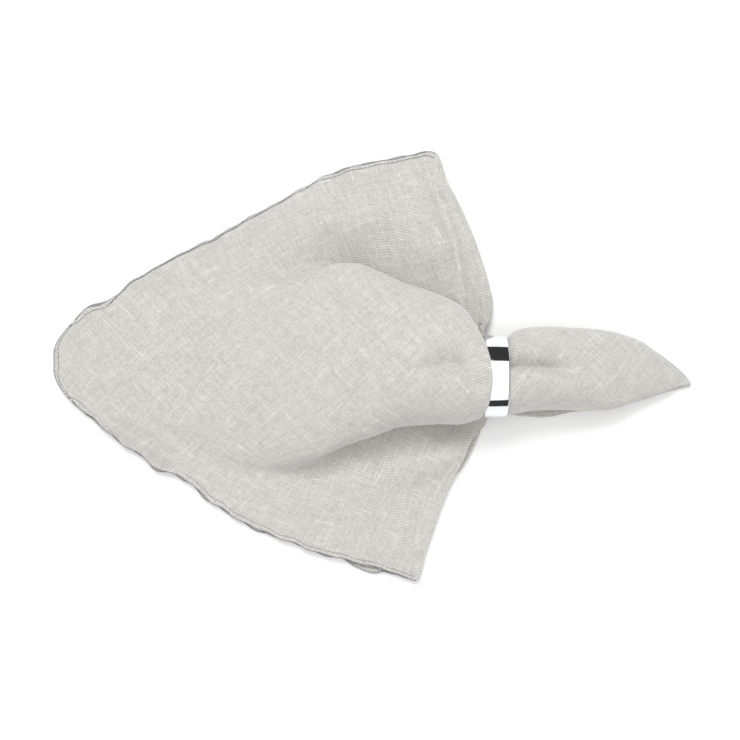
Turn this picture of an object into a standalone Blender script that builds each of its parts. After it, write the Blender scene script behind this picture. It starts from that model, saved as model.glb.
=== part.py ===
"""A square linen napkin, folded in quarters and drawn through a napkin ring.

The napkin is one cloth. Its folded centre points along +X out of the ring, and its
four free corners lie together at -X. Sizes are in millimetres until a mesh is made.
"""

from collections import namedtuple
from math import acos, atan2, cos, pi, radians, sin, sqrt, tan

import bmesh
import bpy
import numpy as np

MM = 0.001

# Flat napkin and its quarter fold
CLOTH_SIDE = 500.0
QUARTER_SIDE = CLOTH_SIDE / 2
CLOTH_THICK = 1.0
LAYER_GAP = 0.3
LAYERS = 4

PITCH = CLOTH_THICK + LAYER_GAP
STACK = (LAYERS - 1) * PITCH
# Middle of the top layer where all four lie on the table
LYING = STACK + CLOTH_THICK / 2
# Distance along the diagonal from the folded centre to the side corners
WIDEST_RUN = QUARTER_SIDE / sqrt(2)

# Ring
RING_RADIUS = 21.75
RING_WALL = 1.2
RING_WIDTH = 12.0
RING_X = 64.0
RING_Y = -5.4
RING_SIDES = 64
RING_EDGE_ROUND = 0.35
RING_SEAM_MERGE = 0.01
RING_AXIS_HEIGHT = RING_RADIUS * cos(pi / RING_SIDES)

# Cloth inside the ring
RING_CLEARANCE = 0.35
BUNDLE_RADIUS = RING_RADIUS - RING_WALL - RING_CLEARANCE - CLOTH_THICK / 2
BUNDLE_CREST = RING_AXIS_HEIGHT + BUNDLE_RADIUS
BUNDLE_TURN = 7.5
BUNDLE_TUCK = 5.0
BUNDLE_FLOOR = 9.5
BUNDLE_FOOT = (RING_AXIS_HEIGHT - BUNDLE_TURN - BUNDLE_FLOOR) / 2
BUNDLE_EDGE = 10.3
BUNDLE_EDGE_FLOOR = 9.7

# Intervals across half a section, from the crest outwards
DOME_STEPS = 4
OUTER_TURN_STEPS = 3
TUCK_STEPS = 1
INNER_TURN_STEPS = 3
WING_STEPS = 3
HALF_STEPS = DOME_STEPS + OUTER_TURN_STEPS + TUCK_STEPS + INNER_TURN_STEPS + WING_STEPS
FOLD_STEPS = 3

# A dome keeps at least this ratio of its end slope to its mean slope
FLATTEST_DOME = 2.1
# How sharply a section bends ahead towards its edge
LEAD_POWER = 3
# Sine of the angle between rows and sections under which a normal is taken from the section
MOST_SKEW = 0.4

LINEN_COLOUR = (0.66, 0.65, 0.61, 1.0)
LINEN_ROUGHNESS = 0.9
STEEL_COLOUR = (0.83, 0.84, 0.85, 1.0)
STEEL_ROUGHNESS = 0.12

# The ridge of the napkin. run is the distance from the folded centre along the cloth's
# diagonal, crest the top layer's height there, under the angle in degrees to which the
# sides turn down and under the dome, turn the radius of that bend, and foot the radius
# in which they turn outwards again to lie flat.
Ridge = namedtuple("Ridge", "run x y crest under turn foot")
RIDGE = [
    Ridge(4, 168.3, -8.8, 4.6, 14, 8.0, 6.0),
    Ridge(14, 157.7, -5.5, 8.3, 50, 5.7, 3.0),
    Ridge(28, 142.2, -2.3, 16.0, 95, 5.7, 2.0),
    Ridge(42, 127.2, -2.1, 24.5, 120, 6.5, 1.5),
    Ridge(56, 112.2, -1.9, 33.0, 150, 6.5, 1.2),
    Ridge(70, 98.0, -1.9, 38.5, 180, 6.5, 1.2),
    Ridge(84, 84.3, -2.9, 40.9, 180, 6.8, 1.6),
    Ridge(97, 72.1, RING_Y, BUNDLE_CREST, 180, BUNDLE_TURN, BUNDLE_FOOT),
    Ridge(113, 55.9, RING_Y, BUNDLE_CREST, 180, BUNDLE_TURN, BUNDLE_FOOT),
    Ridge(118, 50.9, -3.9, 45.2, 180, 7.0, 1.7),
    Ridge(125, 45.1, -2.5, 46.5, 180, 6.0, 1.0),
    Ridge(140, 31.9, -1.0, 46.5, 180, 5.7, 0.8),
    Ridge(160, 13.6, -1.0, 45.0, 180, 5.7, 0.8),
    Ridge(WIDEST_RUN, -1.7, -0.5, 41.5, 180, 5.7, 0.8),
    Ridge(186, -10.3, 0.0, 38.5, 150, 6.5, 2.0),
    Ridge(196, -19.5, 0.2, 35.0, 120, 8.0, 3.0),
    Ridge(208, -30.5, 0.3, 31.0, 90, 10, 5.0),
    Ridge(225, -47.0, 0.7, 25.0, 62, 14, 8.0),
    Ridge(250, -71.4, 1.2, 17.5, 38, 22, 14),
    Ridge(275, -95.6, 1.4, 12.0, 24, 30, 20),
    Ridge(300, -120.2, 1.8, 8.0, 15, 30, 20),
    Ridge(325, -144.7, 2.1, 5.5, 9, 20, 15),
    Ridge(340, -159.3, 2.3, 4.9, 7, 14, 10),
    Ridge(350, -169.9, 2.3, 4.5, 5, 8, 8),
]

# One side of the napkin. dome is the half width of the dome, tuck the length that runs
# back under it, edge the distance from the ridge to the folded or hemmed edge, lead how
# far that edge lies ahead of the ridge along +X, and floor and edge_floor the top
# layer's height where the cloth turns outwards again and at the edge.
Flank = namedtuple("Flank", "run dome tuck edge lead floor edge_floor")
UPPER = [
    Flank(4, 1.3, 0.3, 5.2, -0.5, LYING, LYING),
    Flank(14, 4.5, 0.5, 9.9, -0.5, LYING, LYING),
    Flank(28, 12.0, 1.5, 17.5, 0.0, LYING, LYING),
    Flank(42, 17.5, 2.5, 20.5, 0.0, LYING, LYING),
    Flank(56, 21.0, 4.0, 20.0, 0.0, LYING, LYING),
    Flank(70, 22.2, 5.0, 17.5, 0.0, LYING, LYING),
    Flank(82, 22.0, 5.0, 14.5, 0.0, LYING, LYING),
    Flank(97, BUNDLE_RADIUS, BUNDLE_TUCK, BUNDLE_EDGE, 0.0, BUNDLE_FLOOR, BUNDLE_EDGE_FLOOR),
    Flank(113, BUNDLE_RADIUS, BUNDLE_TUCK, BUNDLE_EDGE, 0.0, BUNDLE_FLOOR, BUNDLE_EDGE_FLOOR),
    Flank(118, 25.5, 11.0, 32.0, 7.0, 5.2, 4.6),
    Flank(126, 32.5, 16.5, 49.3, 16.2, LYING, LYING),
    Flank(140, 35.7, 16.5, 68.3, 22.7, LYING, LYING),
    Flank(160, 43.1, 14.4, 93.8, 30.2, LYING, LYING),
    Flank(WIDEST_RUN, 48.4, 12.2, 115.4, 36.3, LYING, LYING),
    Flank(186, 50.0, 9.0, 114.0, 30.0, LYING, LYING),
    Flank(196, 47.0, 5.0, 110.5, 23.0, LYING, LYING),
    Flank(208, 44.0, 5.0, 105.5, 16.0, LYING, LYING),
    Flank(225, 40.0, 4.0, 96.4, 9.0, LYING, LYING),
    Flank(250, 37.0, 3.0, 83.5, 6.0, LYING, LYING),
    Flank(275, 32.0, 2.0, 66.0, 5.0, LYING, LYING),
    Flank(300, 26.0, 2.0, 50.8, 1.0, LYING, LYING),
    Flank(325, 16.0, 1.0, 33.0, -2.5, LYING, LYING),
    Flank(340, 11.0, 0.5, 24.5, 0.0, LYING, LYING),
    Flank(350, 4.0, 0.0, 13.5, 3.0, LYING, LYING),
]
LOWER = [
    Flank(4, 1.3, 0.3, 5.2, 0.5, LYING, LYING),
    Flank(14, 4.5, 0.5, 9.9, 0.5, LYING, LYING),
    Flank(28, 12.0, 1.5, 17.5, 0.0, LYING, LYING),
    Flank(42, 17.5, 2.5, 21.5, 0.0, LYING, LYING),
    Flank(56, 21.0, 4.0, 23.0, 0.0, LYING, LYING),
    Flank(70, 22.2, 5.0, 22.6, 0.0, LYING, LYING),
    Flank(82, 22.0, 5.0, 19.0, 0.0, LYING, LYING),
    Flank(97, BUNDLE_RADIUS, BUNDLE_TUCK, BUNDLE_EDGE, 0.0, BUNDLE_FLOOR, BUNDLE_EDGE_FLOOR),
    Flank(113, BUNDLE_RADIUS, BUNDLE_TUCK, BUNDLE_EDGE, 0.0, BUNDLE_FLOOR, BUNDLE_EDGE_FLOOR),
    Flank(118, 23.5, 10.0, 31.0, 1.5, 5.2, 4.6),
    Flank(126, 27.8, 15.5, 49.5, 3.6, LYING, LYING),
    Flank(140, 29.7, 17.0, 65.5, 7.6, LYING, LYING),
    Flank(160, 31.3, 15.0, 92.0, 17.5, LYING, LYING),
    Flank(WIDEST_RUN, 36.1, 12.4, 115.3, 25.5, LYING, LYING),
    Flank(186, 36.0, 7.0, 112.0, 22.0, LYING, LYING),
    Flank(196, 35.0, 5.0, 108.0, 17.5, LYING, LYING),
    Flank(208, 35.0, 5.0, 103.5, 12.5, LYING, LYING),
    Flank(225, 36.0, 4.0, 97.0, 7.4, LYING, LYING),
    Flank(250, 37.0, 3.0, 87.0, 7.0, LYING, LYING),
    Flank(275, 33.0, 2.0, 69.5, 1.5, LYING, LYING),
    Flank(300, 26.0, 2.0, 52.0, -2.8, LYING, LYING),
    Flank(325, 16.0, 1.0, 33.5, -3.0, LYING, LYING),
    Flank(340, 11.0, 0.5, 24.5, 0.0, LYING, LYING),
    Flank(350, 4.0, 0.0, 13.5, 3.0, LYING, LYING),
]

# Runs at which the napkin gets a row of points
TAIL_RUNS = [4, 14, 28, 42, 56, 70, 84]
RING_RUNS = [97, 113]
FAN_RUNS = [118, 126, 140, 158, WIDEST_RUN, 186, 196, 208, 225, 248, 274, 300, 325, 340, 349.5]
RUNS = TAIL_RUNS + RING_RUNS + FAN_RUNS

# Where the layers part at the hem: how far layers 2, 3 and 4 slip out from under
# the top one, and the length of that slip's wave along the hem
SLIP = [0.0, 0.9, -0.7, 1.5]
SLIP_WAVE = 95.0


def clear_scene():
    for old in list(bpy.data.objects):
        bpy.data.objects.remove(old)


def unit(vectors):
    return vectors / np.linalg.norm(vectors, axis=-1, keepdims=True)


def slopes(runs, values):
    """Slopes of a curve through the values that doesn't overshoot them."""
    step = np.diff(runs)
    rise = np.diff(values) / step
    out = np.zeros(len(values))
    for i in range(1, len(values) - 1):
        if rise[i - 1] * rise[i] > 0:
            before = 2 * step[i] + step[i - 1]
            after = step[i] + 2 * step[i - 1]
            out[i] = (before + after) / (before / rise[i - 1] + after / rise[i])
    out[0] = rise[0]
    out[-1] = rise[-1]
    return out


def at_run(table, run):
    """The table's row at a run, interpolated smoothly column by column."""
    runs = np.array([row.run for row in table], dtype=float)
    k = int(np.clip(np.searchsorted(runs, run) - 1, 0, len(runs) - 2))
    span = runs[k + 1] - runs[k]
    t = (run - runs[k]) / span
    values = []
    for column in range(1, len(table[0])):
        v = np.array([row[column] for row in table], dtype=float)
        m = slopes(runs, v)
        values.append(
            (2 * t**3 - 3 * t**2 + 1) * v[k]
            + (t**3 - 2 * t**2 + t) * span * m[k]
            + (3 * t**2 - 2 * t**3) * v[k + 1]
            + (t**3 - t**2) * span * m[k + 1]
        )
    return type(table[0])(run, *values)


def half_section(ridge, flank):
    """Points from the ridge to the edge: dome, bend, tuck, foot, wing.

    Each is a distance, a height and the angle by which the cloth slopes down there.
    The dome is a piece of an ellipse that falls as far as the rest leaves it.
    """
    under = radians(ridge.under)
    shoulder = under / 2
    below = ridge.turn * (cos(shoulder) - cos(under)) + ridge.foot * (1 - cos(under))
    tuck = flank.tuck
    fall = ridge.crest - flank.floor - below - tuck * sin(under)
    flattest = flank.dome * tan(shoulder) / FLATTEST_DOME
    if fall > flattest:
        tuck += (fall - flattest) / sin(under)
        fall = flattest
    last = acos(1 / (flank.dome * tan(shoulder) / fall - 1))
    half_width = flank.dome / sin(last)
    half_height = fall / (1 - cos(last))
    points = []
    for i in range(DOME_STEPS + 1):
        slope = shoulder * i / DOME_STEPS
        turn = atan2(half_width * sin(slope), half_height * cos(slope))
        points.append((half_width * sin(turn), ridge.crest - half_height * (1 - cos(turn)), slope))
    start = points[-1]
    for i in range(1, OUTER_TURN_STEPS + 1):
        slope = shoulder + (under - shoulder) * i / OUTER_TURN_STEPS
        distance = start[0] + ridge.turn * (sin(slope) - sin(shoulder))
        points.append((distance, start[1] - ridge.turn * (cos(shoulder) - cos(slope)), slope))
    start = points[-1]
    for i in range(1, TUCK_STEPS + 1):
        length = tuck * i / TUCK_STEPS
        points.append((start[0] + length * cos(under), start[1] - length * sin(under), under))
    start = points[-1]
    for i in range(1, INNER_TURN_STEPS + 1):
        slope = under * (1 - i / INNER_TURN_STEPS)
        distance = start[0] + ridge.foot * (sin(under) - sin(slope))
        points.append((distance, start[1] - ridge.foot * (cos(slope) - cos(under)), slope))
    start = points[-1]
    reach = flank.edge - start[0]
    rise = flank.edge_floor - start[1]
    for i in range(1, WING_STEPS + 1):
        share = i / WING_STEPS
        slope = -atan2(2 * rise * share, reach)
        points.append((start[0] + reach * share, start[1] + rise * share**2, slope))
    return points


def top_layer():
    """Rows of points on the top layer's middle, and the upward normals there."""
    rows = []
    across = []
    for run in RUNS:
        ridge = at_run(RIDGE, run)
        row = []
        directions = []
        for table, side in ((LOWER, -1), (UPPER, 1)):
            flank = at_run(table, run)
            half = []
            half_directions = []
            for distance, height, slope in half_section(ridge, flank):
                share = distance / flank.edge
                lead = flank.lead * share**LEAD_POWER
                ahead = side * LEAD_POWER * flank.lead * share ** (LEAD_POWER - 1) / flank.edge
                half.append((ridge.x + lead, ridge.y + side * distance, height))
                half_directions.append((ahead * cos(slope), cos(slope), -side * sin(slope)))
            row += half[:0:-1] if side < 0 else half
            directions += half_directions[:0:-1] if side < 0 else half_directions
        rows.append(row)
        across.append(directions)
    rows = np.array(rows)
    across = np.array(across)
    steps = unit(np.diff(rows, axis=0))
    along = np.concatenate((steps[:1], steps[:-1] + steps[1:], steps[-1:]))
    normals = np.cross(across, unit(along))
    within = np.cross(across, (-1.0, 0.0, 0.0))
    skewed = np.linalg.norm(normals, axis=2) < MOST_SKEW
    normals[skewed] = within[skewed]
    normals = unit(normals)
    for i, run in enumerate(RUNS):
        if run in RING_RUNS:
            normals[i] /= np.linalg.norm(normals[i][:, 1:], axis=1, keepdims=True)
    return rows, normals


def layer_points(rows, normals, layer):
    """The middle of one layer: the top one, moved inwards, and slipped a little at the hem."""
    points = rows - normals * (layer * PITCH)
    for i, run in enumerate(RUNS):
        if run <= WIDEST_RUN:
            continue
        wave = 0.5 + 0.5 * sin(2 * pi * (run - WIDEST_RUN) / SLIP_WAVE + layer)
        slip = SLIP[layer] * wave
        points[i, 0, 1] -= slip
        points[i, -1, 1] += slip
    return points


def turn_between(first, last, outwards, steps):
    """Points half way round from one layer's edge to another's, ends left out."""
    middle = (first + last) / 2
    half = (first - last) / 2
    reach = np.linalg.norm(half)
    points = []
    for i in range(1, steps):
        turn = pi * i / steps
        points.append(middle + half * cos(turn) + outwards * reach * sin(turn))
    return points


def add_pair(bm, corners, from_first):
    """Two triangles over four points, with the same diagonal in every layer."""
    a, b, c, d = corners
    if from_first:
        bm.faces.new((a, b, c))
        bm.faces.new((a, c, d))
    else:
        bm.faces.new((a, b, d))
        bm.faces.new((b, c, d))


def add_strip(bm, grids, first, last, column, inner_column):
    """The fold that joins two layers along one edge, as far as the cloth is folded there."""
    folded = [i for i, run in enumerate(RUNS) if run <= WIDEST_RUN]
    lines = []
    for i in folded:
        a = grids[first][i][column]
        b = grids[last][i][column]
        inner_a = grids[first][i][inner_column]
        inner_b = grids[last][i][inner_column]
        inside = (np.array(inner_a.co) + np.array(inner_b.co)) / 2
        ends = (np.array(a.co) + np.array(b.co)) / 2
        across = unit(np.array(a.co) - np.array(b.co))
        outwards = ends - inside
        outwards = unit(outwards - across * outwards.dot(across))
        arc = turn_between(np.array(a.co), np.array(b.co), outwards, FOLD_STEPS)
        lines.append([a] + [bm.verts.new(point) for point in arc] + [b])
    for i in range(len(lines) - 1):
        for j in range(len(lines[i]) - 1):
            bm.faces.new((lines[i][j], lines[i][j + 1], lines[i + 1][j + 1], lines[i + 1][j]))
    return lines[0]


def close_tip(bm, outer, inner):
    """Faces that join the outer and the inner sheet at the folded centre."""
    for i in range(len(outer) - 1):
        bm.faces.new((outer[i], outer[i + 1], inner[i + 1], inner[i]))


def build_napkin(collection):
    rows, normals = top_layer()
    bm = bmesh.new()
    grids = []
    for layer in range(LAYERS):
        points = layer_points(rows, normals, layer) * MM
        grid = [[bm.verts.new(point) for point in row] for row in points]
        for i in range(len(grid) - 1):
            in_tail = i < len(TAIL_RUNS)
            for j in range(len(grid[i]) - 1):
                on_lower_side = j < HALF_STEPS
                corners = (grid[i][j], grid[i][j + 1], grid[i + 1][j + 1], grid[i + 1][j])
                add_pair(bm, corners, on_lower_side != in_tail)
        grids.append(grid)
    outer_fold = add_strip(bm, grids, 0, 3, -1, -2)
    inner_fold = add_strip(bm, grids, 1, 2, -1, -2)
    upper_pair = add_strip(bm, grids, 0, 1, 0, 1)
    lower_pair = add_strip(bm, grids, 3, 2, 0, 1)
    close_tip(bm, grids[0][0], grids[1][0])
    close_tip(bm, outer_fold, inner_fold)
    close_tip(bm, grids[3][0], grids[2][0])
    for pair in (upper_pair, lower_pair):
        bm.faces.new(pair)
    bmesh.ops.recalc_face_normals(bm, faces=bm.faces)
    mesh = bpy.data.meshes.new("napkin")
    bm.to_mesh(mesh)
    bm.free()
    mesh.shade_smooth()
    napkin = bpy.data.objects.new("napkin", mesh)
    collection.objects.link(napkin)
    thickness = napkin.modifiers.new("thickness", "SOLIDIFY")
    thickness.thickness = CLOTH_THICK * MM
    thickness.offset = 0.0
    return napkin


def build_ring(collection):
    """A turned band that stands on one of its flats, with the cloth drawn through it."""
    outer = RING_RADIUS
    inner = RING_RADIUS - RING_WALL
    half = RING_WIDTH / 2
    r = RING_EDGE_ROUND
    profile = [
        (inner, half - r),
        (inner + r, half),
        (outer - r, half),
        (outer, half - r),
        (outer, r - half),
        (outer - r, -half),
        (inner + r, -half),
        (inner, r - half),
    ]
    mesh = bpy.data.meshes.new("ring")
    verts = [(x * MM, 0.0, z * MM) for x, z in profile]
    edges = [(i, (i + 1) % len(profile)) for i in range(len(profile))]
    mesh.from_pydata(verts, edges, [])
    ring = bpy.data.objects.new("ring", mesh)
    collection.objects.link(ring)
    turn = ring.modifiers.new("turn", "SCREW")
    turn.axis = "Z"
    turn.angle = 2 * pi
    turn.steps = RING_SIDES
    turn.render_steps = RING_SIDES
    turn.use_merge_vertices = True
    turn.merge_threshold = RING_SEAM_MERGE * MM
    turn.use_smooth_shade = True
    half_flat = pi / RING_SIDES
    ring.rotation_mode = "ZYX"
    ring.rotation_euler = (0.0, radians(90), half_flat)
    ring.location = (RING_X * MM, RING_Y * MM, RING_AXIS_HEIGHT * MM)
    return ring


def add_material(thing, name, colour, roughness, metallic):
    material = bpy.data.materials.new(name)
    material.use_nodes = True
    shader = material.node_tree.nodes["Principled BSDF"]
    shader.inputs["Base Color"].default_value = colour
    shader.inputs["Roughness"].default_value = roughness
    shader.inputs["Metallic"].default_value = metallic
    thing.data.materials.append(material)


def main():
    clear_scene()
    collection = bpy.data.collections.new("napkin_in_ring")
    bpy.context.scene.collection.children.link(collection)
    napkin = build_napkin(collection)
    add_material(napkin, "linen", LINEN_COLOUR, LINEN_ROUGHNESS, 0.0)
    ring = build_ring(collection)
    add_material(ring, "ring_metal", STEEL_COLOUR, STEEL_ROUGHNESS, 1.0)


main()
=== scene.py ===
"""Looks for a linen napkin drawn through a ring: cloth, overlocked hem, ring and plain studio.

The cloth follows the CAD solid's folds, with finer rows, soft creases and threads, and with
a wider foot on the dome's -Y side. Sizes are in millimetres until a mesh is made.
"""

from collections import namedtuple
from math import acos, cos, pi, radians, sin, sqrt, tan

import bmesh
import bpy
import numpy as np
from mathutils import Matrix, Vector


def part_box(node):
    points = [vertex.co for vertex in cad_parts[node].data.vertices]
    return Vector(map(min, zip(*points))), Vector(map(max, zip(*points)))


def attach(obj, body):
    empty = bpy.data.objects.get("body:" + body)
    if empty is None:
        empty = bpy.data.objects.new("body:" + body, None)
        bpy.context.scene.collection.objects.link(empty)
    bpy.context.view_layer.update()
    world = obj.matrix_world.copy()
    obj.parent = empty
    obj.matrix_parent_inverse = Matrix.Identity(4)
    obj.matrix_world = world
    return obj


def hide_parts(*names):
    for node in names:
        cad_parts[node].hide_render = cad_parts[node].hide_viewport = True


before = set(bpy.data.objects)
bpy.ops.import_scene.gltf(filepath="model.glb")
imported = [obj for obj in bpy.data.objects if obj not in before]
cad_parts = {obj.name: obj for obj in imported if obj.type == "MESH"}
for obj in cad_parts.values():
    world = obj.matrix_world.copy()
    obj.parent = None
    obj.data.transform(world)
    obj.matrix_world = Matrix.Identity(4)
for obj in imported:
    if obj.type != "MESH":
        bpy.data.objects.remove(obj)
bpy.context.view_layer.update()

MM = 0.001

# Camera: straight above the napkin
CAMERA_PLACE = (-1.7, -2.0, 700.0)
VIEW_WIDTH = 403.3
SENSOR = 36.0

# Flat napkin and its quarter fold
CLOTH_SIDE = 500.0
QUARTER_SIDE = CLOTH_SIDE / 2
CLOTH_THICK = 0.5
LAYERS = 4
PITCH = 1.3
LYING = 4.4
WIDEST_RUN = QUARTER_SIDE / sqrt(2)
DIAGONAL = 2 * WIDEST_RUN
# The layers lie closer together towards the folded centre: this share of the pitch
# at its very end, and all of it from this run on
TIP_PITCH = 0.35
FULL_PITCH_RUN = 28.0

# Ring, read from its CAD node
RING_LOW, RING_HIGH = (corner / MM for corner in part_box("ring"))
RING_RADIUS = (RING_HIGH.z - RING_LOW.z) / 2
RING_CENTRE = (RING_LOW + RING_HIGH) / 2
RING_HALF_WIDTH = (RING_HIGH.x - RING_LOW.x) / 2
RING_WALL = 1.2
RING_EDGE_ROUND = 0.55
RING_SIDES = 256
RING_CORNER_STEPS = 4
RING_Y = RING_CENTRE.y

# Cloth inside the ring
BUNDLE_RADIUS = 19.7
BUNDLE_CREST = RING_CENTRE.z + BUNDLE_RADIUS
BUNDLE_TURN = 7.5
BUNDLE_TUCK = 5.0
BUNDLE_FLOOR = 9.5
BUNDLE_FOOT = (RING_CENTRE.z - BUNDLE_TURN - BUNDLE_FLOOR) / 2
BUNDLE_EDGE = 10.3
BUNDLE_EDGE_FLOOR = 9.7

# Intervals across half a section, from the crest outwards
DOME_STEPS = 20
OUTER_TURN_STEPS = 6
TUCK_STEPS = 4
INNER_TURN_STEPS = 6
WING_STEPS = 28
HALF_STEPS = DOME_STEPS + OUTER_TURN_STEPS + TUCK_STEPS + INNER_TURN_STEPS + WING_STEPS
# How far out on the wing its points lie, from 0 to 1, closer together towards the edge,
# and the same for all points of a half section
WING_CROWDING = 1.35
WING_SHARES = 1 - (1 - np.arange(1, WING_STEPS + 1) / WING_STEPS) ** WING_CROWDING
WING_PLACES = np.concatenate((np.zeros(HALF_STEPS + 1 - WING_STEPS), WING_SHARES))
# Intervals across the fold that joins two layers
FOLD_STEPS = 6
# How much of a folded edge's roundness is pressed flat where it meets the hem, and over
# what length before that
PRESSED = 0.85
PRESSED_LENGTH = 25.0
# The top layer has every point across, the hidden ones every second, and on the wings
# every fourth
HIDDEN_EVERY = 2
HIDDEN_WING_EVERY = 4
# Beside each hem runs a path this many points and rows further in
INWARD_POINTS = 3
INWARD_ROWS = 2

# The most, in degrees, that the sides turn down and under
MOST_UNDER = 179.9
# A dome keeps at least this ratio of its end slope to its mean slope
FLATTEST_DOME = 2.1
# How sharply the dome and the wing bend ahead towards the edge
LEAN_POWER = 3
LEAD_POWER = 1.6
# Over this many rows each way the threads' places are evened out
EVEN_ROWS = 9
# Sine of the angle between rows and sections under which a normal is taken from the section
MOST_SKEW = 0.3
# Between these angles under the dome, cloth that a section is too short for goes over from
# being spread over it to being hidden in the tuck
HIDING_UNDER = (50.0, 120.0)
# Between these runs the threads go over to keeping their place along the napkin
FREE_RUNS = (250.0, 310.0)

# The ridge of the napkin. run is the distance from the folded centre along the cloth's
# diagonal, crest the top layer's height there, under the angle in degrees to which the
# sides turn down and under the dome, turn the radius of that bend, and foot the radius
# in which they turn outwards again to lie flat.
Ridge = namedtuple("Ridge", "run x y crest under turn foot")
RIDGE = [
    Ridge(0.5, 172.2, -9.8, 1.9, 8, 1, 1),
    Ridge(4, 168.3, -8.4, 3.6, 90, 0.8, 0.4),
    Ridge(14, 157.7, -5.3, 9.5, 120, 2, 0.7),
    Ridge(28, 142.2, -2.3, 18, 120, 3, 1),
    Ridge(42, 127.2, -2.1, 24.5, 120, 6.5, 1.5),
    Ridge(56, 112.2, -1.9, 33, 150, 6.5, 2),
    Ridge(70, 98, -1.9, 38.5, 180, 6.5, 2.8),
    Ridge(84, 84.3, -2.9, 40.9, 180, 6.8, 3.2),
    Ridge(91, 77.9, -4.1, 41.2, 180, 7, 3.2),
    Ridge(95.5, 73.6, -5.1, 41.4, 180, 7.3, 3.4),
    Ridge(98.6, 70.6, RING_Y, BUNDLE_CREST, 180, BUNDLE_TURN, BUNDLE_FOOT),
    Ridge(111.4, 57.4, RING_Y, BUNDLE_CREST, 180, BUNDLE_TURN, BUNDLE_FOOT),
    Ridge(114, 55, -5, 43.6, 180, 7.3, 3.8),
    Ridge(118, 50.9, -3.9, 45.4, 180, 7, 4.2),
    Ridge(125, 45.1, -2.5, 46.5, 180, 6, 4.2),
    Ridge(140, 31.9, -1, 46.5, 180, 5.7, 3.4),
    Ridge(160, 13.6, -1, 45, 180, 5.7, 2.2),
    Ridge(WIDEST_RUN, -1.7, -0.5, 41.5, 158, 5.7, 1.8),
    Ridge(186, -10.3, 0, 38.5, 130, 6.5, 2.5),
    Ridge(196, -19.5, 0.2, 35, 108, 8, 3.5),
    Ridge(208, -30.5, 0.3, 31, 86, 10, 5),
    Ridge(225, -47, 0.7, 25, 62, 14, 8),
    Ridge(250, -71.4, 1.2, 17.5, 38, 22, 14),
    Ridge(275, -95.6, 1.4, 12, 24, 30, 20),
    Ridge(300, -120.2, 1.8, 8, 15, 30, 20),
    Ridge(325, -145.5, 2.1, 5.5, 9, 20, 15),
    Ridge(340, -160.5, 2.3, 4.9, 7, 14, 10),
    Ridge(353, -172.6, 2.3, 4.5, 5, 8, 8),
]

# One side of the napkin. dome is the half width of the dome, tuck the length that runs
# back under it, lean how far the dome's side lies ahead of the ridge along +X, and floor
# and edge_floor the top layer's height where the cloth turns outwards again and at its edge.
Flank = namedtuple("Flank", "run dome tuck lean floor edge_floor", defaults=(LYING, LYING))
# Both sides are the same in the ring and towards the free corners
IN_RING = [
    Flank(98.6, BUNDLE_RADIUS, BUNDLE_TUCK, 0, BUNDLE_FLOOR, BUNDLE_EDGE_FLOOR),
    Flank(111.4, BUNDLE_RADIUS, BUNDLE_TUCK, 0, BUNDLE_FLOOR, BUNDLE_EDGE_FLOOR),
]
FREE_END = [
    Flank(300, 26, 2, 0),
    Flank(325, 16, 1, 0),
    Flank(340, 11, 0.5, 0),
    Flank(353, 4, 0.1, 0),
]
UPPER = [
    Flank(0.5, 0.2, 0.05, 0, 1.87, 1.87),
    Flank(4, 2.6, 0.2, 0, 2, 2),
    Flank(14, 8.1, 1.5, 0, 3.13, 3.13),
    Flank(28, 15.6, 4.2, 0),
    Flank(42, 19.5, 6, 0),
    Flank(56, 21.7, 5, 0),
    Flank(70, 22.6, 5, 0),
    Flank(84, 23.4, 5, 0),
    Flank(91, 23.6, 5, 0, 5.3, 5),
    Flank(95.5, 22.7, 5.2, 0, 7.8, 7.5),
    *IN_RING,
    Flank(114, 22.4, 8, 0.6, 7, 6.6),
    Flank(118, 26.6, 11, 2.4, 5.2, 4.6),
    Flank(126, 32.8, 16.5, 3.8),
    Flank(140, 38.8, 16.5, 3.2),
    Flank(160, 45.4, 14.4, 2.9),
    Flank(WIDEST_RUN, 51.4, 12.2, 2.7),
    Flank(186, 53.6, 9, 2.5),
    Flank(196, 53, 5, 1.8),
    Flank(208, 48, 5, 1.2),
    Flank(225, 40, 4, 0.6),
    Flank(250, 37, 3, 0.3),
    Flank(275, 32, 2, 0.2),
    *FREE_END,
]
LOWER = [
    Flank(0.5, 0.2, 0.05, 0, 1.87, 1.87),
    Flank(4, 1.6, 0.2, 0, 2, 2),
    Flank(14, 8, 1.5, 0, 3.13, 3.13),
    Flank(28, 15.6, 3, 0),
    Flank(42, 19.8, 4, 0),
    Flank(56, 21.4, 4, 0),
    Flank(70, 21.1, 5, 0),
    Flank(84, 20.5, 4, 0),
    Flank(91, 20.3, 4, 0, 5.3, 5),
    Flank(95.5, 20, 4.5, 0, 7.8, 7.5),
    *IN_RING,
    Flank(114, 22.6, 7.5, 0.3, 7, 6.6),
    Flank(118, 25, 10, 0.7, 5.2, 4.6),
    Flank(126, 28.4, 15.5, 0.7),
    Flank(140, 29.7, 17, 0.7),
    Flank(160, 31.3, 15, 0.7),
    Flank(WIDEST_RUN, 36.9, 12.4, 0.8),
    Flank(186, 39.5, 7, 0.7),
    Flank(196, 42.6, 5, 0.6),
    Flank(208, 46, 5, 0.5),
    Flank(225, 49, 4, 0.3),
    Flank(250, 46, 3, 0.2),
    Flank(275, 36, 2, 0),
    *FREE_END,
]

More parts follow.
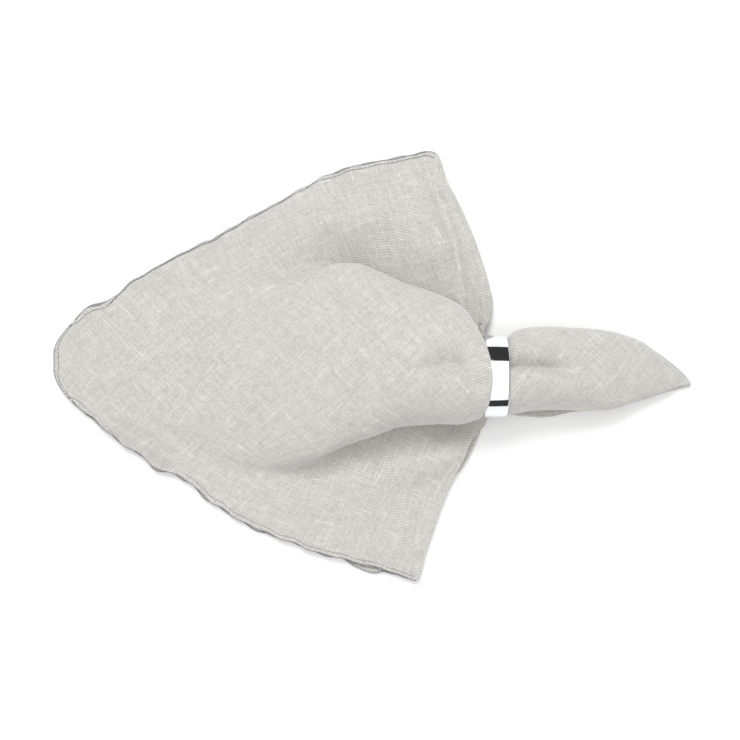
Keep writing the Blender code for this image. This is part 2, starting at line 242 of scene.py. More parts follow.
# The folded edges, and past the widest run the hems, seen from above
Edge = namedtuple("Edge", "run x y")
UPPER_EDGE_ROWS = [
    (0.5, 172.2, -9.2), (4, 168.4, -4.8), (14, 157.9, 3.1), (20, 151.2, 7.4), (28, 142.2, 12.5),
    (42, 127.2, 16.2), (56, 112.2, 17.4), (70, 98, 15.6), (84, 84.3, 11.6), (91, 77.9, 8.9),
    (95.5, 73.6, 6.4), (98.6, 70.6, RING_Y + BUNDLE_EDGE), (111.4, 57.4, RING_Y + BUNDLE_EDGE),
    (114, 55.4, 10), (116, 53.4, 16.5), (118.5, 59.4, 24), (122, 63, 34.4),
    (126, 61.3, 43.6), (139, 54.3, 63.6), (150, 48.5, 77.2), (160, 42.8, 90.1),
    (168.5, 39.3, 99.7), (WIDEST_RUN, 34.5, 114.9), (180, 30.3, 116.2), (187.5, 20, 113.9),
    (199.5, 3.2, 110.7), (211.5, -13.6, 107.2), (214.8, -18, 105.8), (223, -28.8, 101.5),
    (233.8, -42.3, 93.9), (240.3, -50.5, 89.6), (255.4, -69.4, 79.3), (266.1, -82.4, 71.6),
    (283.4, -104.6, 60.8), (296.9, -121.4, 51.6), (306.8, -133.3, 44), (315.7, -143.1, 35.4),
    (321.4, -148, 33.8), (329.7, -155, 31.1), (340.3, -160.2, 26.4), (353, -162.9, 23),
]
LOWER_EDGE_ROWS = [
    (0.5, 172.2, -10.4), (4, 168.3, -11.1), (14, 157.7, -13.8), (20, 151, -15.9),
    (28, 142.2, -18.6), (42, 127.2, -22.4), (56, 112.2, -23.4), (63, 105, -24.6),
    (70, 98, -26.3), (77, 91.1, -26.8), (84, 84.3, -26.3), (91, 77.9, -25.8),
    (95.5, 73.6, -23.8), (98.6, 70.6, RING_Y - BUNDLE_EDGE),
    (111.4, 57.4, RING_Y - BUNDLE_EDGE), (114, 56.6, -21.5), (118, 55, -32.3),
    (122, 52.4, -38.9), (126, 49.2, -46.5), (130, 46.4, -53.5), (140, 42.2, -62.6),
    (150, 36.3, -76.2), (160, 31.6, -90.6), (168, 27.7, -101.8), (WIDEST_RUN, 23.4, -116.2),
    (180.7, 18.9, -114.7), (189.8, 7, -110.4), (196.4, -1.7, -107.7), (202.8, -10.4, -106),
    (207.9, -16.9, -103.3), (214.6, -26.1, -102.2), (225, -39.6, -96.8),
    (229.6, -45.6, -94.6), (248.1, -69.4, -84.9), (258.9, -81.9, -76.8), (269.8, -94.3, -68.1),
    (274.5, -98.1, -62.9), (276.7, -100.9, -61.6), (284.5, -110.6, -56.7),
    (289.3, -117.1, -55.6), (296.7, -124.7, -48.6), (302.6, -131.7, -44.3),
    (317.1, -147.4, -31.8), (328, -156.2, -24.6), (340, -161.2, -20.6),
    (353, -163.9, -18),
]
UPPER_EDGE = [Edge(*row) for row in UPPER_EDGE_ROWS]
LOWER_EDGE = [Edge(*row) for row in LOWER_EDGE_ROWS]

# Rows of points, by run: first, last and how many
TAIL_ROWS = (0.5, 88, 31)
RING_ROWS = (90, 110, 12)
NECK_ROWS = (111.4, 118, 12)
THROAT_ROWS = (119.2, 128, 6)
FAN_ROWS = (130.5, WIDEST_RUN, 27)
WIDE_ROWS = (178.9, 353, 80)
ALL_ROWS = (TAIL_ROWS, RING_ROWS, NECK_ROWS, THROAT_ROWS, FAN_ROWS, WIDE_ROWS)
RUNS = np.concatenate([np.linspace(*rows) for rows in ALL_ROWS])
# A row this near to the widest run lies at it
SAME_RUN = 0.1
HEMMED = RUNS > WIDEST_RUN - SAME_RUN

# On the -Y side the lower pair of layers lies further out: along +X at the folded edge
# near the ring, and along -Y at the hem. Each is a run and a distance. At the hem a layer
# gets this share of it, less this much for each layer above.
PAIR_OUT = [(111, 0), (117, 3.4), (122, 3.8), (128, 2.4), (136, 0.4), (142, 0)]
HEM_OUT = [(186, 0.2), (191, 2.4), (195, 4.9), (199, 5.2), (203, 3.2), (207, 0.5), (212, 0)]
HEM_OUT_SHARE = 1.15
HEM_OUT_LESS = 0.15
# Elsewhere the hems of layers 2, 3 and 4 slip out by up to this much, in waves this long,
# and the slip starts over this length past the widest run
SLIP = [0.0, 0.7, -0.6, 1.1]
SLIP_WAVE = 95.0
SLIP_START = 10.0

# Between these runs the +Y hem of the top layer is turned down, on edge. Each end fades
# over this length both ways. The turned part starts this far from the hem.
TURNED = (221, 316)
TURNED_FADE = 5.0
TURNED_WIDTH = 4.4
# There the hems of the other layers stay back by this much, and by this much more for each
# layer further down. What moves fades inwards over this distance.
STAY_BACK = 1.0
STAY_BACK_MORE = 0.4
TURNED_REACH = 12.0

# The cloth's middle stays this far from the ring's rim
RIM_GAP = 0.45
# The top layer bulges over the ring's rim: run, how far along +X and how far outwards
LIP = [
    (111.4, 0, 0), (112, 0.8, 1.2), (112.6, 2, 1.8), (113.2, 4.5, 1.6), (114, 6.4, 1.5),
    (115, 7, 1.9), (116.5, 6, 2), (118, 3.7, 1.5), (121, 1.1, 0.5), (124, 0, 0),
]
# It fades by this power where the cloth turns away from facing up. Creases between these
# depths and deeper take this share of it away.
LIP_FACING_POWER = 1.5
LIP_LOSS_DEPTHS = (0.8, 2.6)
LIP_LOSS = 0.15

# Soft creases on the top of the cloth. Each is a line of (x, y, height), where height
# swells or sinks the cloth by that much, over this half width on the line's left and right.
Crease = namedtuple("Crease", "left right points")
CREASES = [
    Crease(6, 4, [(66, 4.2, -7), (74, 3.6, -12), (94, 0, -12), (118, -5.6, 0)]),
    Crease(4, 6, [(53, 2.8, 0), (47, 1.6, -7.5), (39, 0, -10), (10, -6.4, 0)]),
    Crease(2.4, 2.4, [(29.2, 104.7, -1.2), (36.5, 89, -3.2), (44.9, 64.1, -3.6), (48.1, 41.9, -2)]),
    Crease(4.6, 4.6, [(34.5, 106, 1), (41.7, 88, 3.4), (50.7, 63, 4.4), (54.5, 42, 2.8)]),
    Crease(7, 7, [(22, 103, 1), (27, 88, 3), (35, 64, 3.4), (40, 46, 1.5)]),
    Crease(13, 13, [(-60, 64, 0), (-25, 79, 8.5), (8, 80, 9.5), (32, 66, 5)]),
    Crease(9, 9, [(-20, -64, 0), (8, -58, 5), (34, -50, 8.5), (45, -46, 7)]),
    Crease(9, 9, [(-90, -38, 0), (-68, -50, -2.4), (-37.4, -56, -1.8), (-10, -52, 0)]),
    Crease(2, 2, [(-85.1, -12.8, 0), (-77, -28, -0.8), (-69.4, -43.7, -0.4)]),
    Crease(1.6, 1.6, [(-156, 24.5, 0), (-158, 20, -0.7), (-159.9, 16.4, 0)]),
    Crease(1.8, 1.8, [(-144.5, 29, 0.6), (-150, 22, 0.6), (-153, 17, 0)]),
    Crease(1.6, 1.6, [(-139, 28, -0.6), (-147, 25, -0.6)]),
    Crease(4.6, 4.6, [(-155, -19, 0), (-138, -32, 6), (-112, -47.5, 6), (-96, -56, 0)]),
    Crease(4.5, 4.5, [(-150, -12, 0), (-134, -24, -1), (-108, -40, -1), (-95, -45, 0)]),
]

# The creases fade out over this distance under the dome
COVER_FADE = 6.0

# Gentle unevenness of the cloth: seed, how many waves, their lengths and their height
WAVE_SEED = 7
WAVES = 7
WAVE_LENGTHS = (22.0, 60.0)
WAVE_HEIGHT = 0.16
# The hem ripples up and down: height, length of a ripple, length and start of the slower
# wave that makes it stronger and weaker, and how far in it reaches
HEM_RIPPLE = 0.35
HEM_RIPPLE_LENGTH = 17.0
HEM_RIPPLE_CHANGE = 9.0
HEM_RIPPLE_START = 1.0
HEM_RIPPLE_REACH = 7.0
# Waves and ripples fade out between the first of these runs, and come back between the last
NECK_FADES = ((84, 92), (116, 124))
# Where the plain form is lower than LYING_TOP, the top layer lies on the others and comes
# no lower than LOWEST_TOP
LYING_TOP = LYING + 3.0
LOWEST_TOP = 3.4
# Between these heights the relief goes over from fading downwards through the layers to
# moving all of them
RISING = (LYING + 2.0, LYING + 12.0)
# The hem wanders in and out: width, lengths of its waves, how far in it reaches, how far
# past the widest run it starts, and its share along X and along Y
HEM_WANDER = 0.45
WANDER_LENGTHS = (3.1, 5.3, 17.0)
WANDER_REACH = 4.0
WANDER_START = (2.0, 12.0)
WANDER_SHARES = (-0.5, 0.8)

# Overlock stitches along the hem. The edging has one point where the lacing has three.
STITCH_LENGTH = 2.2
STITCH_DEPTH = 2.6
STITCH_RISE = 0.34
POINTS_PER_STITCH = 12
EDGING_EVERY = 3
LACING_RADIUS = 0.27
LACING_SIDES = 4
NEEDLE_RADIUS = 0.25
NEEDLE_SIDES = 3
BEAD_RADIUS = 0.27
BEAD_SIDES = 4
# How far the lacing reaches out past the hem, and how flat it lies on it
LACING_OUT = 0.2
LACING_FLATNESS = 2.5
# The needle line's and the bead's height, as shares of the rise, and how much the one's
# height and the other's radius swing
NEEDLE_HEIGHT = 0.8
NEEDLE_SWING = 0.9
BEAD_HEIGHT = 0.5
BEAD_SWING = 0.4
# A direction that no thread runs in
ASIDE = (0.31, 0.27, 0.91)

# Linen threads: pitch, how far they wander and how finely, how finely shade and slubs
# change along them, and between which noise values a slub sets in
THREAD_PITCH = 1.0
THREAD_WANDER = 1.6
WANDER_FINENESS = 0.05
THREAD_FINENESS = 0.07
SLUB_FINENESS = 0.055
SLUB_LEVELS = (0.71, 0.78)
CLOUD_FINENESS = 0.02
# Where the threads lie in the noise: how far apart, and from where
WEFT_NOISE = (19.1, 0.0)
WARP_NOISE = (17.3, 5.0)
WEFT_SLUBS = (37.9, 90.0)
WARP_SLUBS = (31.7, 40.0)
# The weave's mean height, how much higher a slub is, and the width over which the grey
# band along the hem fades
WEAVE_MEAN = 0.64
SLUB_HEIGHT = 0.8
BAND_FADE = 0.4
# How much the threads, their crossings, the cloth's cloudiness, its weave and its slubs
# lighten and darken it. The weave's part is painted light and shade: the thread on top is
# lighter along its middle and darker towards its sides, where it meets the next thread.
SHADE_SHARE = 0.31
FLECK_SHARE = 0.14
CLOUD_SHARE = 0.03
WEAVE_SHADE_SHARE = 0.48
SLUB_SHARE = 0.11
# Colours of the cloth and of the band along its hem
LINEN_COLOUR = (0.536, 0.523, 0.495)
HEM_COLOUR = (0.55, 0.54, 0.52)
# Sewing thread: colours, how fine its shades and its bumps are, and how far the shades go.
# The edging's dark grey is partly painted shade: on the needle line's short dashes it stands
# for the shadows in the needle holes, and the bead along the outer edge is as dark.
LACING_COLOUR = (0.62, 0.61, 0.585)
EDGING_THREAD_AND_SHADE_COLOUR = (0.23, 0.23, 0.225)
SHADE_FINENESS = 900.0
BUMP_FINENESS = 2600.0
SHADE_LEVELS = (0.3, 0.7)
SHADES = (0.82, 1.18)
# Steel, with marks round the band: how much finer across it, how fine, and their looks
STEEL_COLOUR = (0.83, 0.84, 0.85, 1.0)
MARK_COLOUR = (0.79, 0.80, 0.82, 1.0)
MARK_SQUEEZE = 60.0
MARK_FINENESS = 90.0
MARK_LEVELS = (0.3, 0.75)
MARK_ROUGHNESS = (0.045, 0.085)
TABLE_COLOUR = (0.93, 0.93, 0.93, 1.0)
# In metres
TABLE_SIDE = 2.4
# Strength of the pale room: as light, and as polished metal shows it
ROOM_FILL = 0.38
ROOM_IN_METAL = 0.045
WHITE = (1.0, 1.0, 1.0, 1.0)

# Soft light panels, in metres and watts
Panel = namedtuple("Panel", "name place target width depth power")
PANELS = [
    Panel("overhead_panel", (0.0, -0.16, 1.3), (0.0, -0.16, 0.0), 1.6, 2.78, 18.0),
    Panel("left_panel", (-0.3, 1.1, 1.65), (0.0, 0.0, 0.0), 0.7, 0.7, 17.5),
    Panel("front_strip", (0.26, -1.55, 1.08), (0.07, 0.0, 0.02), 0.7, 0.9, 2.4),
]


def unit(vectors):
    return vectors / np.linalg.norm(vectors, axis=-1, keepdims=True)


def smooth_step(low, high, value):
    t = np.clip((value - low) / (high - low), 0.0, 1.0)
    return t * t * (3 - 2 * t)


def slopes(runs, values):
    """Slopes of a curve through the values that doesn't overshoot them."""
    step = np.diff(runs)
    rise = np.diff(values) / step
    out = np.zeros(len(values))
    for i in range(1, len(values) - 1):
        if rise[i - 1] * rise[i] > 0:
            before = 2 * step[i] + step[i - 1]
            after = step[i] + 2 * step[i - 1]
            out[i] = (before + after) / (before / rise[i - 1] + after / rise[i])
    out[0] = rise[0]
    out[-1] = rise[-1]
    return out


def smooth_curve(known, values, at):
    """The values at other places, on a smooth curve that doesn't overshoot."""
    m = slopes(known, values)
    k = np.clip(np.searchsorted(known, at) - 1, 0, len(known) - 2)
    span = known[k + 1] - known[k]
    t = (at - known[k]) / span
    return (
        (2 * t**3 - 3 * t**2 + 1) * values[k]
        + (t**3 - 2 * t**2 + t) * span * m[k]
        + (3 * t**2 - 2 * t**3) * values[k + 1]
        + (t**3 - t**2) * span * m[k + 1]
    )


def rows_of(table):
    """The table's rows at all the runs."""
    columns = np.array(table, dtype=float).T
    read = [smooth_curve(columns[0], column, RUNS) for column in columns[1:]]
    return [type(table[0])(run, *values) for run, values in zip(RUNS, np.array(read).T)]


def at_runs(pairs):
    """Values of a short list of runs and values, at all the runs, level outside it."""
    known = np.array(pairs, dtype=float).T
    return np.array([np.interp(RUNS, known[0], values) for values in known[1:]])


def half_section(ridge, flank, reach):
    """Distances and heights from the ridge to the edge: dome, bend, tuck, foot, wing.

    The dome is a piece of an ellipse that falls as far as the rest leaves it.
    """
    under = radians(min(ridge.under, MOST_UNDER))
    shoulder = under / 2
    below = ridge.turn * (cos(shoulder) - cos(under)) + ridge.foot * (1 - cos(under))
    tuck = flank.tuck
    fall = ridge.crest - flank.floor - below - tuck * sin(under)
    flattest = flank.dome * tan(shoulder) / FLATTEST_DOME
    if fall > flattest:
        tuck += (fall - flattest) / sin(under)
        fall = flattest
    last = acos(1 / (flank.dome * tan(shoulder) / fall - 1))
    half_width = flank.dome / sin(last)
    half_height = fall / (1 - cos(last))
    points = []
    for i in range(DOME_STEPS + 1):
        turn = last * i / DOME_STEPS
        points.append((half_width * sin(turn), ridge.crest - half_height * (1 - cos(turn))))
    start = points[-1]
    for i in range(1, OUTER_TURN_STEPS + 1):
        slope = shoulder + (under - shoulder) * i / OUTER_TURN_STEPS
        distance = start[0] + ridge.turn * (sin(slope) - sin(shoulder))
        points.append((distance, start[1] - ridge.turn * (cos(shoulder) - cos(slope))))
    start = points[-1]
    for i in range(1, TUCK_STEPS + 1):
        length = tuck * i / TUCK_STEPS
        points.append((start[0] + length * cos(under), start[1] - length * sin(under)))
    start = points[-1]
    for i in range(1, INNER_TURN_STEPS + 1):
        slope = under * (1 - i / INNER_TURN_STEPS)
        distance = start[0] + ridge.foot * (sin(under) - sin(slope))
        points.append((distance, start[1] - ridge.foot * (cos(slope) - cos(under))))
    start = points[-1]
    wing = reach - start[0]
    rise = flank.edge_floor - start[1]
    for share in WING_SHARES:
        points.append((start[0] + wing * share, start[1] + rise * share**2))
    return np.array(points)


def leads(flank, lead, distances):
    """How far each point of a half section lies ahead of the ridge, along +X."""
    lean = flank.lean * np.minimum(distances / flank.dome, 1.0) ** LEAN_POWER
    return lean * (1 - WING_PLACES) + lead * WING_PLACES**LEAD_POWER


def flat_distances(ridge, half, ahead):
    """Where each point of a half section lies on the flat cloth, measured from the diagonal.

    The dome is measured from the ridge and the wing from its edge. What the section is
    shorter than the cloth is hidden in the tuck, or spread over it where nothing is tucked.
    Towards the free corners the section is as long as the cloth.
    """
    flat_half = min(ridge.run, DIAGONAL - ridge.run)
    steps = np.sqrt(np.diff(half[:, 0]) ** 2 + np.diff(half[:, 1]) ** 2 + np.diff(ahead) ** 2)
    along = np.concatenate(([0.0], np.cumsum(steps)))
    first = along[DOME_STEPS + OUTER_TURN_STEPS]
    last = along[HALF_STEPS - WING_STEPS]
    tucked = along + (flat_half - along[-1]) * np.clip((along - first) / (last - first), 0.0, 1.0)
    spread = along * flat_half / along[-1]
    hidden = smooth_step(*HIDING_UNDER, ridge.under)
    placed = hidden * tucked + (1 - hidden) * spread
    free = smooth_step(*FREE_RUNS, ridge.run)
    return free * along + (1 - free) * placed


def top_layer():
    """Rows of points on the top layer's middle, the upward normals, and flat distances."""
    rows = []
    flat = []
    sides = ((rows_of(LOWER), rows_of(LOWER_EDGE), -1), (rows_of(UPPER), rows_of(UPPER_EDGE), 1))
    for i, ridge in enumerate(rows_of(RIDGE)):
        row = []
        flat_row = []
        for flanks, edges, side in sides:
            flank = flanks[i]
            half = half_section(ridge, flank, side * (edges[i].y - ridge.y))
            ahead = leads(flank, edges[i].x - ridge.x, half[:, 0])
            points = np.stack([ridge.x + ahead, ridge.y + side * half[:, 0], half[:, 1]], 1)
            distances = side * flat_distances(ridge, half, ahead)
            if side < 0:
                points, distances = points[:0:-1], distances[:0:-1]
            row.append(points)
            flat_row.append(distances)
        rows.append(np.concatenate(row))
        flat.append(np.concatenate(flat_row))
    rows = np.array(rows)
    return rows, normals_of(rows), evened(np.array(flat))


def evened(values):
    """The values with the unevenness between neighbouring rows taken out."""
    padded = np.pad(values, ((EVEN_ROWS, EVEN_ROWS), (0, 0)), mode="reflect", reflect_type="odd")
    weights = np.hanning(2 * EVEN_ROWS + 3)[1:-1]
    stacked = [weight * padded[k : k + len(values)] for k, weight in enumerate(weights)]
    return np.sum(stacked, axis=0) / weights.sum()


def bisected(points, axis):
    """Unit directions along a grid of points, halfway between the steps before and after."""
    steps = unit(np.diff(points, axis=axis))
    first = np.take(steps, [0], axis)
    last = np.take(steps, [-1], axis)
    count = steps.shape[axis]
    inner = np.take(steps, range(count - 1), axis) + np.take(steps, range(1, count), axis)
    return unit(np.concatenate((first, inner, last), axis))


def normals_of(rows):
    """The upward normals of a grid of points."""
    across = bisected(rows, 1)
    along = bisected(rows, 0)
    normals = np.cross(across, along)
    within = np.cross(across, (-1.0, 0.0, 0.0))
    skewed = np.linalg.norm(normals, axis=2) < MOST_SKEW
    normals[skewed] = within[skewed]
    return unit(normals)


def distances_to(plan, path):
    """The distance of each point of the plan from the nearest place on a path."""
    nearest = np.full(plan.shape[:-1], np.inf)
    for start, end in zip(path, path[1:]):
        way = end - start
        t = np.clip(((plan - start) @ way) / way.dot(way), 0.0, 1.0)
        nearest = np.minimum(nearest, np.linalg.norm(plan - start - t[..., None] * way, axis=-1))
    return nearest


def around(grid):
    """The hem of a grid: the lower edge, the free corner and the upper edge."""
    return np.concatenate((grid[HEMMED][:-1, 0], grid[-1], grid[HEMMED][-2::-1, -1]))


def crease_heights(plan, crease):
    """How much a crease raises each point of the plan."""
    nearest = np.full(plan.shape[:-1], np.inf)
    height = np.zeros(plan.shape[:-1])
    reach = np.ones(plan.shape[:-1])
    for first, last in zip(crease.points, crease.points[1:]):
        start = np.array(first[:2])
        way = np.array(last[:2]) - start
        offset = plan - start
        t = np.clip((offset @ way) / way.dot(way), 0.0, 1.0)
        distance = np.linalg.norm(offset - t[..., None] * way, axis=-1)
        on_left = way[0] * offset[..., 1] > way[1] * offset[..., 0]
        closer = distance < nearest
        nearest = np.where(closer, distance, nearest)
        reach = np.where(closer, np.where(on_left, crease.left, crease.right), reach)
        height = np.where(closer, first[2] + t * (last[2] - first[2]), height)
    return height * np.exp(-((nearest / reach) ** 2))


def uncovered(rows):
    """1 where the top layer is seen from above, 0 well under the dome."""
    columns = np.arange(rows.shape[1]) - HALF_STEPS
    off = np.abs(rows[..., 1] - rows[:, [HALF_STEPS], 1])
    sides = off[:, [HALF_STEPS - DOME_STEPS]], off[:, [HALF_STEPS + DOME_STEPS]]
    ends = np.where(columns < 0, *sides)
    return np.maximum(np.abs(columns) <= DOME_STEPS, smooth_step(ends - COVER_FADE, ends, off))


def relief(rows, normals, hem):
    """How far the top layer stands out from its plain form: creases, soft waves, hem ripples.

    The creases fade out under the dome. Near the ring only they stay.
    """
    draw = np.random.default_rng(WAVE_SEED)
    plan = rows[..., :2]
    creased = np.zeros(rows.shape[:-1])
    waved = np.zeros(rows.shape[:-1])
    for crease in CREASES:
        creased += crease_heights(plan, crease)
    for _ in range(WAVES):
        turn = draw.uniform(0, pi)
        length = draw.uniform(*WAVE_LENGTHS)
        phase = draw.uniform(0, 2 * pi)
        waved += WAVE_HEIGHT * np.sin(2 * pi * (plan @ (cos(turn), sin(turn))) / length + phase)
    strength = np.sin(plan[..., 0] / HEM_RIPPLE_CHANGE + HEM_RIPPLE_START)
    ripple = np.sin(2 * pi * plan[..., 0] / HEM_RIPPLE_LENGTH) * strength
    waved += HEM_RIPPLE * (1 + ripple) * np.exp(-hem / HEM_RIPPLE_REACH)
    fade_out, fade_in = NECK_FADES
    in_neck = smooth_step(*fade_out, RUNS) * (1 - smooth_step(*fade_in, RUNS))
    raised = creased * uncovered(rows) + waved * (1 - in_neck)[:, None]
    raised *= np.clip(normals[..., 2], 0.0, 1.0)
    lowest = np.minimum(LOWEST_TOP - rows[..., 2], 0.0)
    lying = rows[..., 2] < LYING_TOP
    return np.where(lying, np.maximum(raised, lowest), raised)


def wander_of(points, hem, layer):
    """A small uneven shift of the hem in and out."""
    short, middle, long = WANDER_LENGTHS
    along = points[:, [0], 0] - points[:, [0], 1]
    wave = np.sin(along / short + 2 * layer) + np.sin(along / middle + layer) * np.sin(along / long)
    started = smooth_step(*WANDER_START, RUNS - WIDEST_RUN)[:, None]
    size = HEM_WANDER * wave * np.exp(-hem / WANDER_REACH) * started
    side = np.sign(points[..., 1])
    share_x, share_y = WANDER_SHARES
    return np.stack([share_x * size, share_y * size * side, np.zeros_like(size)], -1)


def add_lip(points, normals, raised):
    """The top layer's bulge over the ring's rim, less where a crease runs into the ring.

    Then the points that would enter the rim are moved out of it.
    """
    ahead, outwards = at_runs(LIP)
    kept = 1 - LIP_LOSS * smooth_step(*LIP_LOSS_DEPTHS, -raised)
    facing = np.clip(normals[..., 2], 0.0, 1.0) ** LIP_FACING_POWER * kept
    points[..., 0] += ahead[:, None] * facing
    points += normals * (outwards[:, None] * facing)[..., None]
    radius = np.hypot(points[..., 1] - RING_Y, points[..., 2] - RING_CENTRE.z)
    behind = (RUNS[:, None] > NECK_ROWS[0]) & (radius < RING_RADIUS + RIM_GAP)
    rim = RING_CENTRE.x - RING_HALF_WIDTH - RIM_GAP
    points[..., 0] = np.where(behind, np.minimum(points[..., 0], rim), points[..., 0])


def turn_hem_down(points, hem, layer):
    """The +Y hem between two runs: the top layer's is turned down and the others stay behind it."""
    low, high = TURNED
    share = smooth_step(low - TURNED_FADE, low + TURNED_FADE, RUNS)
    share = share * (1 - smooth_step(high - TURNED_FADE, high + TURNED_FADE, RUNS))
    share = share[:, None] * (np.arange(points.shape[1]) > points.shape[1] // 2)
    outwards = unit(points[:, -1] - points[:, -3])[:, None]
    if layer:
        retreat = share * (STAY_BACK + STAY_BACK_MORE * layer) * np.exp(-hem / TURNED_REACH)
        points -= outwards * retreat[..., None]
        return
    turned = np.clip(TURNED_WIDTH - hem, 0.0, None)
    radius = TURNED_WIDTH / (pi / 2)
    full_retreat = TURNED_WIDTH - radius
    points += outwards * (share * full_retreat * np.exp(-hem / TURNED_REACH))[..., None]
    points -= outwards * (share * (turned - radius * np.sin(turned / radius)))[..., None]
    points[..., 2] -= share * radius * (1 - np.cos(turned / radius))


def layer_points(rows, normals, raised, hem, layer):
    """The middle of one layer: the top one, moved inwards, and shifted a little at its edges.

    Where the cloth lies on the table, the lower a layer is, the less the relief moves it.
    """
    pitches = PITCH * (TIP_PITCH + (1 - TIP_PITCH) * smooth_step(0.0, FULL_PITCH_RUN, RUNS))
    lying = 1 - smooth_step(*RISING, rows[..., 2])
    share = 1 - lying * layer / (LAYERS - 1)
    points = rows + normals * (raised * share - layer * pitches[:, None])[..., None]
    lower = np.concatenate((WING_PLACES[:0:-1], np.zeros(HALF_STEPS + 1))) ** 2
    upper = lower[::-1]
    wave = 0.5 + 0.5 * np.sin(2 * pi * (RUNS - WIDEST_RUN) / SLIP_WAVE + layer)
    slip = SLIP[layer] * wave * smooth_step(WIDEST_RUN, WIDEST_RUN + SLIP_START, RUNS)
    points[..., 1] += slip[:, None] * (upper - lower)
    points += wander_of(points, hem, layer)
    if layer >= 2:
        points[..., 0] += at_runs(PAIR_OUT)[0][:, None] * lower
        further = HEM_OUT_SHARE - HEM_OUT_LESS * layer
        points[..., 1] -= at_runs(HEM_OUT)[0][:, None] * lower * further
    if layer == 0:
        add_lip(points, normals, raised)
    turn_hem_down(points, hem, layer)
    return points


def thread_places(rows, flat, layer):
    """Where each point of one layer lies among the cloth's threads, in millimetres.

    The layers are the four quarters of the napkin, which mirror each other at the folds.
    Towards the free corners a thread keeps its place along the napkin.
    """
    ridge_x = rows[:, [HALF_STEPS], 0]
    run = RUNS[:, None] - (rows[..., 0] - ridge_x) * smooth_step(*FREE_RUNS, RUNS[:, None])
    # Half of each fold's turn lies beyond the edge of the layer
    first = (run + flat) / sqrt(2) + pi * PITCH / 4
    gap = (LAYERS - 1) * PITCH if layer in (0, LAYERS - 1) else PITCH
    second = (run - flat) / sqrt(2) + pi * gap / 4
    mirror_first = -1 if layer in (1, 2) else 1
    mirror_second = -1 if layer in (2, 3) else 1
    return np.stack([mirror_first * first, mirror_second * second, np.zeros_like(first)], -1)


def in_scene(data):
    """A new object in the scene, with the name of its data."""
    made = bpy.data.objects.new(data.name, data)
    bpy.context.scene.collection.objects.link(made)
    return made


def smooth_object(bm, mesh):
    """An object whose mesh gets the built faces, smooth and facing outwards."""
    bmesh.ops.recalc_face_normals(bm, faces=bm.faces)
    bm.to_mesh(mesh)
    bm.free()
    mesh.shade_smooth()
    return in_scene(mesh)


class Cloth:
    """A mesh of shared points, each with its place among the threads and its hem distance."""

    def __init__(self):
        self.points = []
        self.threads = []
        self.hems = []
        self.faces = []

    def add(self, point, thread, hem):
        self.points.append(point)
        self.threads.append(thread)
        self.hems.append(hem)
        return len(self.points) - 1

    def add_grid(self, points, threads, hems):
        grid = []
        for row in zip(points, threads, hems):
            grid.append([self.add(*values) for values in zip(*row)])
        for low, high in zip(grid, grid[1:]):
            for j in range(len(low) - 1):
                self.faces.append((low[j], low[j + 1], high[j + 1], high[j]))
        return grid

    def make(self, name):
        mesh = bpy.data.meshes.new(name)
        mesh.from_pydata(np.array(self.points) * MM, [], self.faces)
        thread = mesh.attributes.new("thread", "FLOAT_VECTOR", "POINT")
        thread.data.foreach_set("vector", np.array(self.threads, dtype=np.float32).ravel())
        hem = mesh.attributes.new("hem", "FLOAT", "POINT")
        hem.data.foreach_set("value", np.array(self.hems, dtype=np.float32))
        bm = bmesh.new()
        bm.from_mesh(mesh)
        return smooth_object(bm, mesh)


def add_strip(cloth, grids, first, last, column, inner):
    """The fold that joins two layers along one edge, as far as the cloth is folded there."""
    lines = []
    for i in np.flatnonzero(RUNS < WIDEST_RUN + SAME_RUN):
        a, b = grids[first][i][column], grids[last][i][column]
        inner_a, inner_b = grids[first][i][inner], grids[last][i][inner]
        start, end = cloth.points[a], cloth.points[b]
        middle = (start + end) / 2
        half = (start - end) / 2
        across = unit(half)
        outwards = middle - (cloth.points[inner_a] + cloth.points[inner_b]) / 2
        outwards = unit(outwards - across * outwards.dot(across)) * np.linalg.norm(half)
        pressed = PRESSED * smooth_step(WIDEST_RUN - PRESSED_LENGTH, WIDEST_RUN, RUNS[i])
        outwards = outwards * (1 - pressed)
        line = [a]
        for k in range(1, FOLD_STEPS):
            turn = pi * k / FOLD_STEPS
            share = k / FOLD_STEPS
            point = middle + half * cos(turn) + outwards * sin(turn)
            thread = cloth.threads[a] * (1 - share) + cloth.threads[b] * share
            line.append(cloth.add(point, thread, cloth.hems[a]))
        lines.append(line + [b])
    for low, high in zip(lines, lines[1:]):
        for k in range(FOLD_STEPS):
            cloth.faces.append((low[k], low[k + 1], high[k + 1], high[k]))
    return lines[0]


def hidden_columns():
    """The points across that the hidden layers keep."""
    wing = np.arange(0, WING_STEPS, HIDDEN_WING_EVERY)
    last = 2 * HALF_STEPS
    middle = np.arange(WING_STEPS, last - WING_STEPS, HIDDEN_EVERY)
    return np.concatenate((wing, middle, last - WING_STEPS + wing, [last]))


